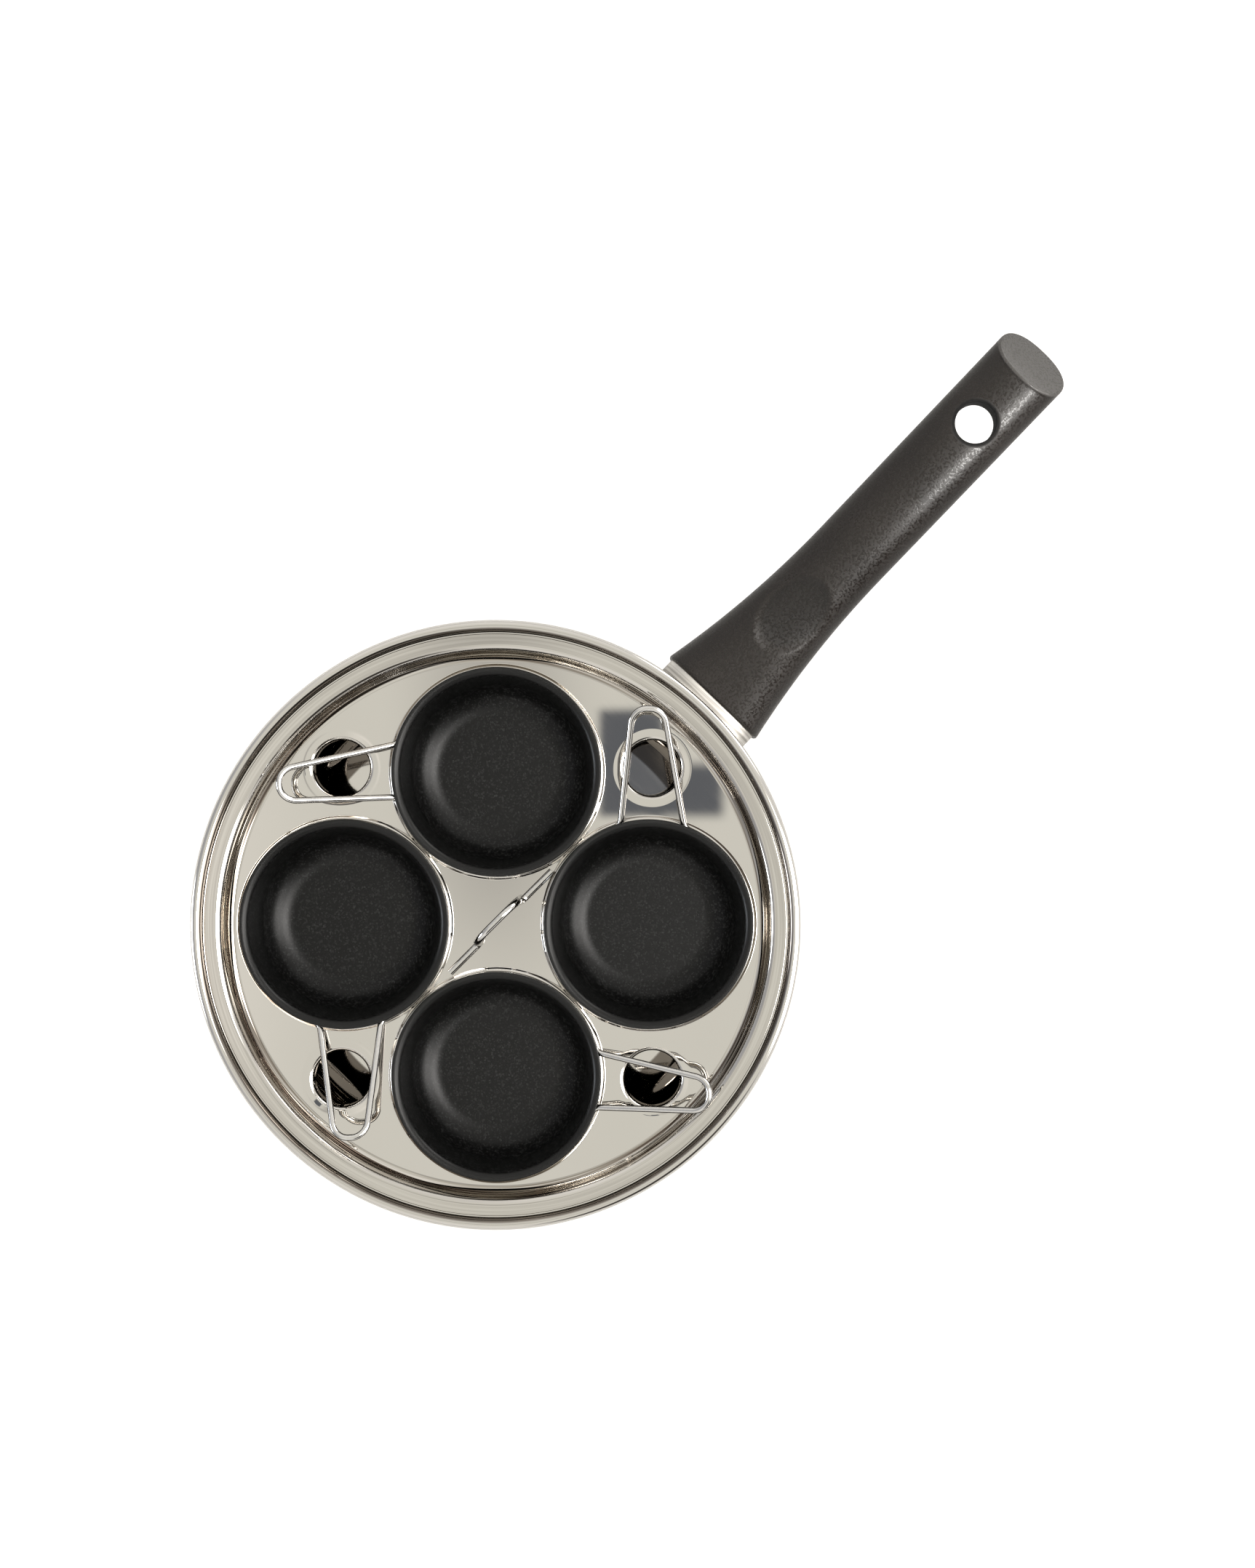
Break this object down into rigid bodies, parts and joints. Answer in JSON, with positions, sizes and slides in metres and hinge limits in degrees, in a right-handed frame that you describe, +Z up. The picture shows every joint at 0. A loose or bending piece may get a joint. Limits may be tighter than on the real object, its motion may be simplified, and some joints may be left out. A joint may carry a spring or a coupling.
{
  "type": "egg poacher pan",
  "caption": "Round steel egg poacher pan with a resin handle, a drop-in tray and lift-out coated cups on wire handles.",
  "frame": {"origin": "on the pan's axis, at the flat underside of its base", "axes": "+Z up along the pan's axis; +X from the axis along the handle; +Y to the handle's left"},
  "size_m": [0.3817, 0.213, 0.0814],
  "materials": {
    "polished_steel": "mirror polished",
    "base_steel": "satin, turned",
    "aluminium": "satin",
    "wire": "bright drawn wire",
    "coating": "fine speckled non-stick",
    "resin": "fine grained",
    "fastener": "plated"
  },
  "bodies": {
    "pan": {"pan_body": "polished_steel", "base_core": "aluminium", "base_cap": "base_steel", "handle_bracket": "fastener", "flame_guard": "polished_steel", "handle": "resin", "handle_washer": "fastener", "handle_screw": "fastener"},
    "tray": {"tray": "polished_steel", "lift_handle": "wire"},
    "cup_1": {"cup_1": "coating", "cup_wire_1": "wire"},
    "cup_2": {"cup_2": "coating", "cup_wire_2": "wire"},
    "cup_3": {"cup_3": "coating", "cup_wire_3": "wire"},
    "cup_4": {"cup_4": "coating", "cup_wire_4": "wire"}
  },
  "joints": [
    {"name": "tray_lift", "type": "slide", "parent": "pan", "child": "tray", "axis": [0, 0, 1], "range_m": [0, 0.06]},
    {"name": "cup_1_lift", "type": "slide", "parent": "tray", "child": "cup_1", "axis": [0, 0, 1], "range_m": [0, 0.045]},
    {"name": "cup_2_lift", "type": "slide", "parent": "tray", "child": "cup_2", "axis": [0, 0, 1], "range_m": [0, 0.045]},
    {"name": "cup_3_lift", "type": "slide", "parent": "tray", "child": "cup_3", "axis": [0, 0, 1], "range_m": [0, 0.045]},
    {"name": "cup_4_lift", "type": "slide", "parent": "tray", "child": "cup_4", "axis": [0, 0, 1], "range_m": [0, 0.045]}
  ]
}
